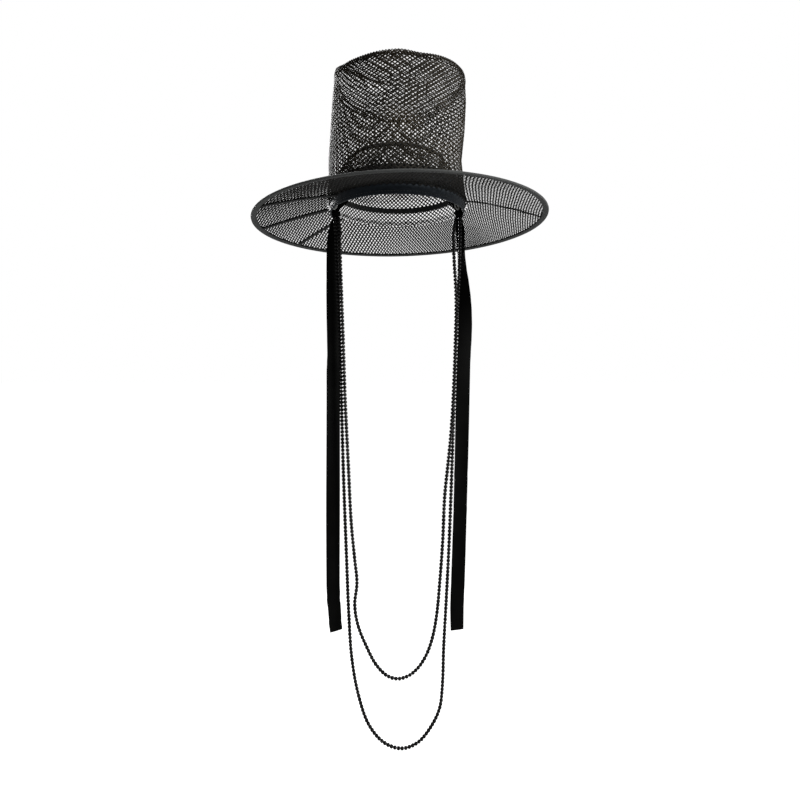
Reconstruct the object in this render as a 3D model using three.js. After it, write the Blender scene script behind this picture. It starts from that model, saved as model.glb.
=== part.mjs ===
// A Korean gat: a tall open-mesh crown on a wide open-mesh brim, with a headband, two hanging
// ribbons and two strings of black beads. Millimetres, +Z up. The wearer looks along -Y.
// The origin is the middle of the head opening, level with the join of brim and crown.

import * as THREE from 'three';

// Driving sizes
const openingRadius = 88.5;     // outside of the crown where it meets the brim
const crownHeight = 155;        // from the brim to the top edge
const cloth = 1.2;              // thickness of the stiffened mesh
const clearance = 0.3;          // between pieces that are sewn together
const crownSag = 5;             // how far the middle of the top dips

const brimRadius = 187;
const brimDrop = 22;            // how far the rim lies below the join
const brimCurve = 1.15;         // 1 is a straight cone, more is flatter near the crown
const brimShift = 3.2;          // the rim reaches this much further to the right
const brimTilt = 4.5;           // and lies this much higher there, and lower on the left
const collarHeight = 7;         // brim cloth turned up against the crown
const rimTapeWidth = 7;

const tape = 1.1;               // thickness of the binding tape
const seamTapeWidth = 5;
const stayWidth = 8;
const stayThickness = 1.6;

const headbandThickness = 1.5;
const headbandBelow = 11;       // how far it hangs below the join

const innerFoot = 18.5;         // lower edge of the inner band, above the join
const innerRise = 40;           // from its lower edge to its upper edge
const innerRingRadius = 60;     // of its upper edge
const innerFootHeight = 6.5;    // upright part of the inner band, held by its foot tape
const footTapeWidth = 7.5;
const ringTapeWidth = 7;

const knotDepth = 10;
const knotHeight = 9;
const knotCord = 2.2;           // thickness of the wrapped cord
const knotDrop = 8;             // middle of the knot, below the join

const ribbonWidth = 18;
const ribbonThickness = 1;
const ribbonDrop = 546;         // from the knot to the free end
const gatherWidth = 6;          // ribbon where the knot gathers it
const gatherThickness = 2.4;

const beadDiameter = 4.4;

const around = 64;              // facets round the hat
const headbandFacets = 34;      // of those, the ones that the headband covers

// Crown outline: heights as shares of crownHeight, radii and shifts to the right of openingRadius
const crownSections = [
  { height: 0.00, radius: 1.000, shift: 0.000 },
  { height: 0.07, radius: 1.000, shift: 0.000 },
  { height: 0.20, radius: 0.990, shift: -0.016 },
  { height: 0.36, radius: 0.982, shift: -0.024 },
  { height: 0.60, radius: 0.984, shift: 0.002 },
  { height: 0.82, radius: 0.980, shift: 0.024 },
  { height: 0.94, radius: 0.962, shift: 0.032 },
  { height: 1.00, radius: 0.940, shift: 0.036 },
];

// Top edge of the crown: rise at each angle as a share of crownHeight, angles from the front
const topEdge = [
  { angle: -180, rise: 0.000 },
  { angle: -120, rise: 0.004 },
  { angle: -96, rise: 0.030 },
  { angle: -78, rise: 0.080 },
  { angle: -66, rise: 0.048 },
  { angle: -57, rise: 0.020 },
  { angle: -46, rise: 0.004 },
  { angle: -30, rise: -0.006 },
  { angle: 0, rise: -0.004 },
  { angle: 18, rise: -0.018 },
  { angle: 28, rise: -0.008 },
  { angle: 40, rise: 0.006 },
  { angle: 60, rise: 0.022 },
  { angle: 90, rise: 0.048 },
  { angle: 120, rise: 0.044 },
  { angle: 150, rise: 0.022 },
  { angle: 180, rise: 0.000 },
];

// Dents in the crown: height and its reach as shares of crownHeight, depth of openingRadius
const crownDents = [
  { angle: 84, height: 0.36, reach: 0.16, spread: 26, depth: 0.020 },
  { angle: 20, height: 0.52, reach: 0.20, spread: 30, depth: 0.016 },
  { angle: -58, height: 0.70, reach: 0.22, spread: 24, depth: 0.018 },
  { angle: 165, height: 0.60, reach: 0.22, spread: 34, depth: 0.020 },
];

// Stays under the brim: their angle from the front at the crown, how far they turn from there to
// the rim, and their width as a share of stayWidth
const stays = [
  { name: 'brim_stay_left_front', angle: -54, sweep: -7, width: 1.0 },
  { name: 'brim_stay_left_side', angle: -92, sweep: 0, width: 0.9 },
  { name: 'brim_stay_left_back', angle: -121, sweep: -2, width: 0.8 },
  { name: 'brim_stay_right_side', angle: 69, sweep: 15, width: 0.3 },
];

// Ribbons, from inside the crown to the free end. down is a share of ribbonDrop, out and back
// of the knot's distance from the middle, width of ribbonWidth, turn is in degrees.
const ribbonStations = {
  ribbon_left: [
    { down: -0.075, out: 0.835, back: 0.345, width: 0.62, turn: 66 },
    { down: -0.055, out: 0.884, back: 0.250, width: 0.72, turn: 44 },
    { down: -0.030, out: 0.932, back: 0.100, width: 0.66, turn: 20 },
    { down: -0.009, out: 1.000, back: 0.000, width: 0.00, turn: 0 },
    { down: 0.009, out: 1.000, back: 0.000, width: 0.00, turn: 0 },
    { down: 0.030, out: 1.025, back: 0.020, width: 0.62, turn: 2 },
    { down: 0.075, out: 1.045, back: 0.032, width: 1.00, turn: 6 },
    { down: 0.190, out: 1.050, back: 0.030, width: 1.00, turn: 6 },
    { down: 0.340, out: 1.035, back: 0.036, width: 1.00, turn: 20 },
    { down: 0.370, out: 1.048, back: 0.036, width: 1.00, turn: 16 },
    { down: 0.680, out: 1.052, back: 0.032, width: 1.00, turn: 18 },
    { down: 0.890, out: 1.050, back: 0.034, width: 1.00, turn: 18 },
    { down: 0.950, out: 1.025, back: 0.044, width: 1.00, turn: 26 },
    { down: 1.000, out: 1.000, back: 0.050, width: 1.00, turn: 34 },
  ],
  ribbon_right: [
    { down: -0.075, out: 0.812, back: 0.290, width: 0.62, turn: -70 },
    { down: -0.055, out: 0.878, back: 0.220, width: 0.72, turn: -60 },
    { down: -0.030, out: 0.950, back: 0.105, width: 0.62, turn: -40 },
    { down: -0.009, out: 1.000, back: 0.000, width: 0.00, turn: 0 },
    { down: 0.009, out: 1.000, back: 0.000, width: 0.00, turn: 0 },
    { down: 0.035, out: 1.035, back: 0.060, width: 0.66, turn: -40 },
    { down: 0.095, out: 1.055, back: 0.100, width: 1.00, turn: -62 },
    { down: 0.200, out: 1.105, back: 0.080, width: 1.00, turn: -36 },
    { down: 0.265, out: 1.112, back: 0.050, width: 1.00, turn: -10 },
    { down: 0.360, out: 1.085, back: 0.040, width: 1.00, turn: 8 },
    { down: 0.620, out: 1.040, back: 0.036, width: 1.00, turn: 4 },
    { down: 0.880, out: 0.990, back: 0.034, width: 1.00, turn: 6 },
    { down: 0.940, out: 0.976, back: 0.038, width: 1.00, turn: 8 },
    { down: 1.000, out: 0.980, back: 0.036, width: 1.00, turn: 16 },
  ],
};

// Routes of the bead strings from the left knot down and up to the right one, chosen by hand
const beadRoutes = {
  bead_string_long: [
    [-80.9, -4.2, -13.0], [-79.8, -4.2, -32], [-78.6, -4.2, -60], [-76.4, -4.2, -120],
    [-73.6, -4.2, -190], [-72.2, -4.2, -250], [-69.5, -4.2, -350], [-65.8, -4.2, -450],
    [-62.8, -4.2, -525], [-59, -4.2, -582], [-50.5, -4.2, -630], [-36.5, -4.2, -670],
    [-17, -4.2, -692.5], [5, -4.2, -700], [26, -4.2, -692.5], [43, -4.2, -672.5],
    [54.5, -4.2, -648], [58.2, -4.2, -618], [59.8, -4.2, -570], [63.3, -4.2, -505],
    [67, -4.2, -430], [70, -4.2, -350], [72.5, -4.2, -270], [75.2, -4.2, -190],
    [78.2, -4.2, -120], [80.2, -4.2, -75], [81, -4.2, -40], [80.9, -4.2, -13.0],
  ],
  bead_string_short: [
    [-76.0, -4.2, -13.0], [-74.6, -6.6, -32], [-73.6, -9.3, -60], [-71.5, -9.4, -120],
    [-69, -9.4, -190], [-67, -9.4, -250], [-62.8, -9.4, -335], [-59.3, -9.4, -405],
    [-54.8, -9.4, -453], [-51.8, -9.4, -484], [-54.6, -9.4, -512], [-50.6, -9.4, -538],
    [-39.2, -9.4, -566.5], [-27.2, -9.4, -589], [-13.2, -9.4, -603], [0.8, -9.4, -607],
    [14.5, -9.4, -603], [26.5, -9.4, -593], [36.6, -9.4, -577.5], [44.8, -9.4, -555],
    [50.4, -9.4, -525], [54.6, -9.4, -480], [58.2, -9.4, -430], [60.8, -9.4, -372],
    [64.6, -9.4, -335], [69, -9.4, -290], [72, -9.4, -240], [74, -9.4, -190],
    [75.4, -9.4, -120], [72.6, -9.3, -66], [72.2, -6.6, -36], [76.0, -4.2, -13.0],
  ],
};
const beadSteps = { bead_string_long: 52, bead_string_short: 48 };
const beadSides = 8;

// Mesh, cloth and bead finishes
const finishes = {
  mesh: { color: 0x26241f, roughness: 0.6, metalness: 0 },
  tape: { color: 0x1b1b1a, roughness: 0.7, metalness: 0 },
  band: { color: 0x0f1418, roughness: 0.55, metalness: 0 },
  satin: { color: 0x0a0a0a, roughness: 0.35, metalness: 0 },
  bead: { color: 0x0c0c0c, roughness: 0.25, metalness: 0 },
};

const hat = new THREE.Group();

function addPiece(name, geometry, finish) {
  const mesh = new THREE.Mesh(geometry, new THREE.MeshStandardMaterial(finishes[finish]));
  mesh.name = name;
  hat.add(mesh);
}

// Joins a row of loops of points into one closed body. A ring's last loop meets its first one,
// any other body is closed at both ends by a fan round the middle of its last loop.
function loft(loops, isRing) {
  const size = loops[0].length;
  const points = loops.flat();
  const faces = [];
  const last = isRing ? loops.length : loops.length - 1;
  for (let i = 0; i < last; i++) {
    const here = i * size;
    const next = ((i + 1) % loops.length) * size;
    for (let j = 0; j < size; j++) {
      const k = (j + 1) % size;
      faces.push(here + j, here + k, next + k, here + j, next + k, next + j);
    }
  }
  if (!isRing) {
    for (const end of [0, loops.length - 1]) {
      const middle = new THREE.Vector3();
      loops[end].forEach((point) => middle.addScaledVector(point, 1 / size));
      const hub = points.push(middle) - 1;
      for (let j = 0; j < size; j++) {
        const k = (j + 1) % size;
        const a = end * size + j;
        const b = end * size + k;
        faces.push(hub, ...(end === 0 ? [b, a] : [a, b]));
      }
    }
  }
  if (signedVolume(points, faces) < 0) {
    faces.reverse();
  }
  const geometry = new THREE.BufferGeometry();
  geometry.setAttribute('position',
    new THREE.Float32BufferAttribute(points.flatMap((point) => point.toArray()), 3));
  geometry.setIndex(faces);
  geometry.computeVertexNormals();
  return geometry;
}

function signedVolume(points, faces) {
  const cross = new THREE.Vector3();
  let volume = 0;
  for (let i = 0; i < faces.length; i += 3) {
    cross.crossVectors(points[faces[i + 1]], points[faces[i + 2]]);
    volume += points[faces[i]].dot(cross) / 6;
  }
  return volume;
}

const radians = THREE.MathUtils.degToRad;

// Angles run from the front (-Y) over the wearer's left (+X)
function onCircle(angle, radius, shift, height) {
  return new THREE.Vector3(shift + radius * Math.sin(angle), -radius * Math.cos(angle), height);
}

const angles = Array.from({ length: around }, (_, i) => (i * 2 * Math.PI) / around);

// Smooth reading of a table between its rows, with no overshoot
function readTable(rows, key, column, at) {
  const last = rows.length - 1;
  let i = 0;
  while (i < last - 1 && at > rows[i + 1][key]) {
    i++;
  }
  const span = rows[i + 1][key] - rows[i][key];
  const share = THREE.MathUtils.clamp((at - rows[i][key]) / span, 0, 1);
  const slope = (n) => (rows[n + 1][column] - rows[n][column]) / (rows[n + 1][key] - rows[n][key]);
  const tangent = (n) => {
    if (n === 0 || n === last) {
      return slope(Math.min(n, last - 1));
    }
    const before = slope(n - 1);
    const after = slope(n);
    return before * after <= 0 ? 0 : (2 * before * after) / (before + after);
  };
  const rest = 1 - share;
  return rows[i][column] * rest * rest * (1 + 2 * share)
    + rows[i + 1][column] * share * share * (3 - 2 * share)
    + span * share * rest * (tangent(i) * rest - tangent(i + 1) * share);
}

function fullAngle(angle) {
  const degrees = THREE.MathUtils.radToDeg(angle);
  return degrees > 180 ? degrees - 360 : degrees;
}

function dentAt(angle, share) {
  let depth = 0;
  for (const dent of crownDents) {
    const turn = (((fullAngle(angle) - dent.angle + 540) % 360) - 180) / dent.spread;
    const climb = (share - dent.height) / dent.reach;
    depth += dent.depth * Math.exp(-turn * turn - climb * climb);
  }
  return depth * openingRadius;
}

// A point of the crown wall on one of its sections: share of its height, inset from its outer face
function sectionPoint(angle, share, inset) {
  const radius = readTable(crownSections, 'height', 'radius', share) * openingRadius;
  const shift = readTable(crownSections, 'height', 'shift', share) * openingRadius;
  const dent = dentAt(angle, share) * THREE.MathUtils.smoothstep(share, 0.07, 0.3);
  const rise = readTable(topEdge, 'angle', 'rise', fullAngle(angle)) * share * share;
  return onCircle(angle, radius - dent - inset, shift, crownHeight * (share + rise));
}

const sectionShares = crownSections.map((row) => row.height);

// A point of the crown wall at any share of its height. Below the brim it goes straight down.
function crownPoint(angle, share, inset) {
  if (share <= 0) {
    return sectionPoint(angle, 0, inset).add(new THREE.Vector3(0, 0, crownHeight * share));
  }
  const next = Math.max(sectionShares.findIndex((row) => row >= Math.min(share, 1)), 1);
  const [from, to] = [sectionShares[next - 1], sectionShares[next]];
  return sectionPoint(angle, from, inset).lerp(sectionPoint(angle, to, inset), (share - from) / (to - from));
}

function wallAtHeight(angle, height, inset) {
  return crownPoint(angle, height / crownHeight, inset);
}

// Crown wall
function crownWall() {
  return loft(angles.map((angle) => [
    ...sectionShares.map((share) => crownPoint(angle, share, 0)),
    ...sectionShares.toReversed().map((share) => crownPoint(angle, share, cloth)),
  ]), true);
}
addPiece('crown_wall', crownWall(), 'mesh');

// Crown top: a round of the same mesh, laid over the edge of the wall and dipping in the middle
function crownTop() {
  const edges = angles.map((angle) => crownPoint(angle, 1, 0));
  const middle = new THREE.Vector3();
  edges.forEach((edge) => middle.addScaledVector(edge, 1 / around));
  const ringAt = (share, lift) => edges.map((edge) => {
    const point = middle.clone().lerp(edge, share);
    point.z += clearance + lift - crownSag * (1 - share * share);
    return point;
  });
  return loft([ringAt(0.45, 0), ringAt(1, 0), ringAt(1, cloth), ringAt(0.45, cloth)], false);
}
addPiece('crown_top', crownTop(), 'mesh');

// Seam tape round the top edge, outside the wall and the top
function topSeamTape() {
  return loft(angles.map((angle) => {
    const corner = (inset, down) => crownPoint(angle, 1 - down / crownHeight, inset);
    const crest = crownPoint(angle, 1, -clearance);
    const crestOut = crownPoint(angle, 1, -clearance - tape);
    const top = clearance + cloth;
    return [
      corner(-clearance, seamTapeWidth),
      crest.clone(),
      crest.setZ(crest.z + top),
      crestOut.clone().setZ(crestOut.z + top),
      crestOut,
      corner(-clearance - tape, seamTapeWidth),
    ];
  }), true);
}
addPiece('top_seam_tape', topSeamTape(), 'tape');

// Brim surface: distance from the crown's axis, height above the middle of the cloth
const brimInner = openingRadius + clearance;
const rimEdge = brimRadius - tape - clearance;

function brimPoint(angle, distance, lift) {
  const share = (distance - brimInner) / (brimRadius - brimInner);
  const drop = brimDrop * Math.pow(Math.max(share, 0), brimCurve);
  const tilt = brimTilt * Math.max(share, 0) * Math.sin(angle);
  return onCircle(angle, distance, brimShift * Math.max(share, 0), lift - drop + tilt);
}

function brim() {
  const half = cloth / 2;
  const distances = [0.12, 0.35, 0.65, 1].map((share) => THREE.MathUtils.lerp(brimInner, rimEdge, share));
  return loft(angles.map((angle) => [
    onCircle(angle, brimInner, 0, collarHeight),
    onCircle(angle, brimInner, 0, -half),
    ...distances.map((distance) => brimPoint(angle, distance, -half)),
    ...distances.toReversed().map((distance) => brimPoint(angle, distance, half)),
    onCircle(angle, brimInner + cloth, 0, half + cloth),
    onCircle(angle, brimInner + cloth, 0, collarHeight),
  ]), true);
}
addPiece('brim', brim(), 'mesh');

// A tape folded over an edge of cloth. place(angle, along, off) is a point of the cloth, along
// grows towards the edge and off is measured from the middle of the cloth.
function foldedTape(place, edge, width) {
  const inner = cloth / 2 + clearance;
  const outer = inner + tape;
  const fold = edge + clearance;
  const end = fold + tape;
  const hem = end - width;
  const corners = [
    [hem, -outer], [end, -outer], [end, outer], [hem, outer],
    [hem, inner], [fold, inner], [fold, -inner], [hem, -inner],
  ];
  return loft(angles.map((angle) => corners.map(([along, off]) => place(angle, along, off))), true);
}
addPiece('rim_binding', foldedTape(brimPoint, rimEdge, rimTapeWidth), 'tape');

// Stays under the brim, from the crown to the rim's tape
function brimStay({ angle, sweep, width }) {
  const under = -cloth / 2 - clearance;
  const start = brimInner + 3 * clearance;
  const end = brimRadius - rimTapeWidth - clearance;
  const loops = [];
  for (let i = 0; i <= 6; i++) {
    const distance = THREE.MathUtils.lerp(start, end, i / 6);
    const middle = radians(angle + sweep * i / 6);
    const half = width * stayWidth / 2 / distance;
    const edges = [middle - half, middle + half];
    loops.push([
      brimPoint(edges[0], distance, under - stayThickness),
      brimPoint(edges[1], distance, under - stayThickness),
      brimPoint(edges[1], distance, under),
      brimPoint(edges[0], distance, under),
    ]);
  }
  return loft(loops, false);
}
for (const stay of stays) {
  addPiece(stay.name, brimStay(stay), 'tape');
}

// Inner band: stands on its foot along the wall, then leans in to its ring
const footInset = cloth + clearance + tape + clearance + cloth / 2;
const bendHeight = innerFoot + innerFootHeight;
const ringHeight = innerFoot + innerRise;
const innerSlope = Math.hypot(ringHeight - bendHeight, openingRadius - footInset - innerRingRadius);
const innerLength = innerFootHeight + innerSlope;

function innerBandPoint(angle, along, off) {
  if (along <= innerFootHeight) {
    return wallAtHeight(angle, innerFoot + along, footInset - off);
  }
  const bend = wallAtHeight(angle, bendHeight, footInset - off);
  const shift = readTable(crownSections, 'height', 'shift', ringHeight / crownHeight) * openingRadius;
  const ring = onCircle(angle, innerRingRadius + off, shift, ringHeight);
  return bend.lerp(ring, (along - innerFootHeight) / innerSlope);
}

function innerBand() {
  const half = cloth / 2;
  const places = [0, innerFootHeight, innerFootHeight + innerSlope / 2, innerLength];
  return loft(angles.map((angle) => [
    ...places.map((along) => innerBandPoint(angle, along, half)),
    ...places.toReversed().map((along) => innerBandPoint(angle, along, -half)),
  ]), true);
}
addPiece('inner_band', innerBand(), 'mesh');

const fromFoot = (angle, along, off) => innerBandPoint(angle, -along, off);
addPiece('inner_band_foot_tape', foldedTape(fromFoot, 0, footTapeWidth), 'tape');
addPiece('inner_band_ring_tape', foldedTape(innerBandPoint, innerLength, ringTapeWidth), 'tape');

// Headband: a strip of cloth inside the front half, from under the foot tape to below the join
const headbandOuter = cloth + clearance;
const headbandTop = innerFoot - clearance - tape - clearance;

function headband() {
  const bends = sectionShares.map((share) => share * crownHeight).filter((height) => height < headbandTop);
  const heights = [-headbandBelow, ...bends, headbandTop];
  const inner = headbandOuter + headbandThickness;
  const loops = [];
  for (let i = -headbandFacets / 2; i <= headbandFacets / 2; i++) {
    const angle = ((i + around) % around) * (2 * Math.PI / around);
    loops.push([
      ...heights.map((height) => wallAtHeight(angle, height, headbandOuter)),
      ...heights.toReversed().map((height) => wallAtHeight(angle, height, inner)),
    ]);
  }
  return loft(loops, false);
}
addPiece('headband', headband(), 'band');

// Knots: a wrapped cord round each gathered ribbon, against the ends of the headband
const knotWidth = gatherWidth + 2 * (clearance + knotCord);
const knotReach = openingRadius - headbandOuter - headbandThickness - clearance - knotWidth / 2;

function tieKnot(side) {
  const loops = [];
  for (let i = 0; i < 16; i++) {
    const angle = i * Math.PI / 8;
    const square = 1 / Math.max(Math.abs(Math.cos(angle)), Math.abs(Math.sin(angle)));
    const place = (halfWidth, halfDepth, stretch, height) => new THREE.Vector3(
      side * knotReach + halfWidth * stretch * Math.cos(angle),
      halfDepth * stretch * Math.sin(angle),
      height - knotDrop,
    );
    const hole = [gatherWidth / 2 + clearance, gatherThickness / 2 + clearance, square];
    const outside = [knotWidth / 2, knotDepth / 2, 1];
    const crest = [knotWidth / 2 - knotCord / 3, knotDepth / 2 - knotCord / 2, 1];
    const low = -knotHeight / 2;
    loops.push([
      place(...hole, low * 0.8), place(...crest, low), place(...outside, low * 0.5),
      place(...outside, -low * 0.5), place(...crest, -low), place(...hole, -low * 0.8),
    ]);
  }
  return loft(loops, true);
}
addPiece('tie_knot_left', tieKnot(-1), 'satin');
addPiece('tie_knot_right', tieKnot(1), 'satin');

// Ribbons: one flat strip each, sewn inside the inner band, gathered in the knot and hanging free
function ribbon(side, stations) {
  const read = (column, down) => readTable(stations, 'down', column, down);
  const place = (down) => new THREE.Vector3(
    side * knotReach * read('out', down),
    knotReach * read('back', down),
    -knotDrop - ribbonDrop * down,
  );
  const downs = [];
  stations.slice(1).forEach((row, i) => {
    const from = stations[i].down;
    const parts = row.down - from > 0.08 ? 3 : 2;
    for (let part = 0; part < parts; part++) {
      downs.push(THREE.MathUtils.lerp(from, row.down, part / parts));
    }
  });
  downs.push(stations.at(-1).down);
  return loft(downs.map((down) => {
    const here = place(down);
    const step = 0.002;
    const low = stations[0].down;
    const along = place(Math.min(down + step, 1)).sub(place(Math.max(down - step, low))).normalize();
    const turn = radians(read('turn', down));
    const across = new THREE.Vector3(Math.cos(turn), Math.sin(turn), 0);
    across.addScaledVector(along, -across.dot(along)).normalize();
    const through = along.clone().cross(across);
    const open = read('width', down);
    const halfWidth = THREE.MathUtils.lerp(gatherWidth, ribbonWidth, open) / 2;
    const halfThickness = THREE.MathUtils.lerp(gatherThickness, ribbonThickness, Math.min(open * 2, 1)) / 2;
    return [[-1, -1], [1, -1], [1, 1], [-1, 1]].map(([a, b]) => here.clone()
      .addScaledVector(across, a * halfWidth)
      .addScaledVector(through, b * halfThickness));
  }), false);
}
addPiece('ribbon_left', ribbon(-1, ribbonStations.ribbon_left), 'satin');
addPiece('ribbon_right', ribbon(1, ribbonStations.ribbon_right), 'satin');

// Strings of beads, here as tubes of the beads' diameter
const beadSection = new THREE.Shape(Array.from({ length: beadSides }, (_, i) => {
  const angle = ((i + 0.5) * 2 * Math.PI) / beadSides;
  return new THREE.Vector2(Math.cos(angle), Math.sin(angle)).multiplyScalar(beadDiameter / 2);
}));
for (const [name, route] of Object.entries(beadRoutes)) {
  const path = new THREE.CatmullRomCurve3(route.map((point) => new THREE.Vector3(...point)));
  addPiece(name, new THREE.ExtrudeGeometry(beadSection, {
    steps: beadSteps[name],
    extrudePath: path,
    bevelEnabled: false,
  }), 'bead');
}

export default hat;
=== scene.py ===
import math

import bpy
import numpy as np
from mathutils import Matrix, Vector
from mathutils.bvhtree import BVHTree


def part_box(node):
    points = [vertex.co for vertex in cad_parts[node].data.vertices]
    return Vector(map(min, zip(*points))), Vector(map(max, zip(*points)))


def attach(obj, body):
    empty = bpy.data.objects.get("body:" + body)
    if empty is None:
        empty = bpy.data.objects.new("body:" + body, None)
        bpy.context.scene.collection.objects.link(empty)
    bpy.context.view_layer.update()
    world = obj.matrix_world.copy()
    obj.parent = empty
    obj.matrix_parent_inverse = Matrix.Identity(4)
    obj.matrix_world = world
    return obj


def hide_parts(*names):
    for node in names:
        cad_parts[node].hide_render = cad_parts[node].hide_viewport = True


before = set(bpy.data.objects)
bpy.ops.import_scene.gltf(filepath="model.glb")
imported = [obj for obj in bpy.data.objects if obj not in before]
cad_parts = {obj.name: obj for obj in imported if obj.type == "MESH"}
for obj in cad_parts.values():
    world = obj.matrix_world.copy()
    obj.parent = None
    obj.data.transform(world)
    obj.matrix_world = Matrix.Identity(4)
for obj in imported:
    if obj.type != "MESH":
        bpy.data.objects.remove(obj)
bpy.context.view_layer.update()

# Camera. It looks level along +Y from the height of the wearer's chest, close enough to show the
# brim from below, and its frame reaches a little further down than up.
camera = bpy.data.objects.new("camera", bpy.data.cameras.new("camera"))
camera.data.lens = 24.08
camera.data.sensor_width = 36
camera.data.shift_y = -0.0335
camera.location = (0.0034, -0.6956, -0.2152)
camera.rotation_euler = (math.radians(90), 0, 0)
bpy.context.scene.collection.objects.link(camera)
bpy.context.scene.camera = camera


# Floor and light. The hat hangs as a head would hold it, over a wide pale floor that glows, in an
# even pale room. Two large soft lamps, in front and behind, keep to the crown.
class Value:
    """One output of a finish's nodes. Sums and products of values add Math nodes."""

    def __init__(self, finish, socket):
        self.finish = finish
        self.socket = socket

    def __add__(self, other):
        return self.finish.math("ADD", self, other)

    def __mul__(self, other):
        return self.finish.math("MULTIPLY", self, other)

    def __pow__(self, other):
        return self.finish.math("POWER", self, other)

    __radd__ = __add__
    __rmul__ = __mul__


class Finish:
    """A material, with the sockets that are the same all over the surface set at once."""

    def __init__(self, name, **fixed):
        self.material = bpy.data.materials.new(name)
        self.material.use_nodes = True
        self.tree = self.material.node_tree
        self.surface = self.tree.nodes["Principled BSDF"]
        for socket, value in fixed.items():
            self.surface.inputs[socket.replace("_", " ")].default_value = value

    def node(self, kind, settings, sockets, output=0):
        """A new node: its type, its settings, and the numbers or values of its sockets."""
        made = self.tree.nodes.new("ShaderNode" + kind)
        for name, setting in settings.items():
            setattr(made, name, setting)
        for name, value in sockets.items():
            self.feed(made.inputs[name], value)
        return Value(self, made.outputs[output])

    def feed(self, socket, value):
        if isinstance(value, Value):
            self.tree.links.new(value.socket, socket)
        else:
            socket.default_value = value

    def math(self, operation, *terms):
        return self.node("Math", {"operation": operation}, dict(enumerate(terms)))

    def between(self, share, low, high):
        """A colour from low to high, each given as red, green and blue."""
        colours = {name: colour if isinstance(colour, Value) else (*colour, 1)
                   for name, colour in ((6, low), (7, high))}
        return self.node("Mix", {"data_type": "RGBA"}, {0: share, **colours}, 2)

    def noise(self, place, scale, detail=2.0):
        return self.node("TexNoise", {}, {"Vector": place, "Scale": scale, "Detail": detail})

    def show(self, **values):
        for socket, value in values.items():
            self.feed(self.surface.inputs[socket.replace("_", " ")], value)

    def raised(self, height, depth, strength=1.0):
        """The surface raised by height times depth, in metres."""
        return self.node("Bump", {}, {"Height": height, "Distance": depth, "Strength": strength})


FLOOR_HEIGHT = -0.80
FLOOR_REACH = 30.0

floor_finish = Finish("pale_floor", Roughness=0.9, Emission_Color=(1, 1, 1, 1), Emission_Strength=0.89)
floor_place = floor_finish.node("TexCoord", {}, {}, "Object")
floor_grain = floor_finish.noise(floor_place, 3.0)
floor_finish.show(Base_Color=floor_finish.between(floor_grain, (0.34, 0.34, 0.34), (0.37, 0.37, 0.37)))
floor_mesh = bpy.data.meshes.new("floor")
floor_corners = [(x * FLOOR_REACH, y * FLOOR_REACH, FLOOR_HEIGHT)
                 for x, y in ((-1, -1), (1, -1), (1, 1), (-1, 1))]
floor_mesh.from_pydata(floor_corners, [], [(0, 1, 2, 3)])
floor_mesh.materials.append(floor_finish.material)
floor = bpy.data.objects.new("floor", floor_mesh)
bpy.context.scene.collection.objects.link(floor)

ROOM_SEEN = 1.0
ROOM_LIGHT = 0.32

room = bpy.data.worlds.new("pale_room")
room.use_nodes = True
bpy.context.scene.world = room
room_light = room.node_tree.nodes["Background"]
room_light.inputs["Color"].default_value = (1, 1, 1, 1)
room_path = room.node_tree.nodes.new("ShaderNodeLightPath")
room_share = room.node_tree.nodes.new("ShaderNodeMapRange")
room_share.inputs["To Min"].default_value = ROOM_LIGHT
room_share.inputs["To Max"].default_value = ROOM_SEEN
room.node_tree.links.new(room_path.outputs["Is Camera Ray"], room_share.inputs["Value"])
room.node_tree.links.new(room_share.outputs["Result"], room_light.inputs["Strength"])
bpy.context.scene.view_settings.view_transform = "Standard"


LAMP_AIM = (0, 0, 0.1)
LAMP_WIDTH = 1.0
LAMP_SPREAD = math.radians(70)


def soft_lamp(name, place, power):
    """A lamp whose light keeps close to its aim, so that it reaches the crown and not the floor."""
    lamp = bpy.data.objects.new(name, bpy.data.lights.new(name, "AREA"))
    lamp.data.spread = LAMP_SPREAD
    lamp.data.size = LAMP_WIDTH
    lamp.data.energy = power
    lamp.location = place
    lamp.rotation_euler = (Vector(LAMP_AIM) - Vector(place)).to_track_quat("-Z", "Y").to_euler()
    bpy.context.scene.collection.objects.link(lamp)


soft_lamp("lamp_front", (1.6, -1.1, 0.5), 30)
soft_lamp("lamp_back", (-0.7, 1.6, 0.9), 24)

# Crown wall. A tall tube of stiffened open mesh, cut on the bias, so that its threads climb both
# ways round the hat and pass over and under each other. Sizes are millimetres from here on.
MM = 0.001
THREAD_WIDTH = 1.75
THREAD_DEPTH = 0.5
THREAD_SIDES = 6
THREAD_RISE = 0.27              # of a thread over the one that it crosses
CROWN_THREADS = 86              # each way round
CROWN_STEP = 2.65               # climb from one crossing to the next
CROWN_OPEN = 0.12               # how much wider the threads lie at the front
CROWN_OPEN_SIDE = 0.12          # and on the right
CROWN_TOP = 155
BEYOND = 260                    # further out than any part of the hat

chance = np.random.default_rng(7)


class Wall:
    """A wall of the CAD model, read by the lines that cross it."""

    def __init__(self, node):
        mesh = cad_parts[node].data
        points = [vertex.co / MM for vertex in mesh.vertices]
        self.tree = BVHTree.FromPolygons(points, [tuple(face.vertices) for face in mesh.polygons])

    def middle(self, start, end):
        """The middle of the wall on the way from start to end, or None beside it."""
        start, end = Vector(start), Vector(end)
        way = (end - start).normalized()
        near = self.tree.ray_cast(start, way)[0]
        if near is None:
            return None
        return np.array((near + self.tree.ray_cast(end, -way)[0]) / 2)


def lengths_along(points):
    """How far along a line each of its points lies."""
    return np.concatenate([[0], np.cumsum(np.linalg.norm(np.diff(points, axis=0), axis=1))])


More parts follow.
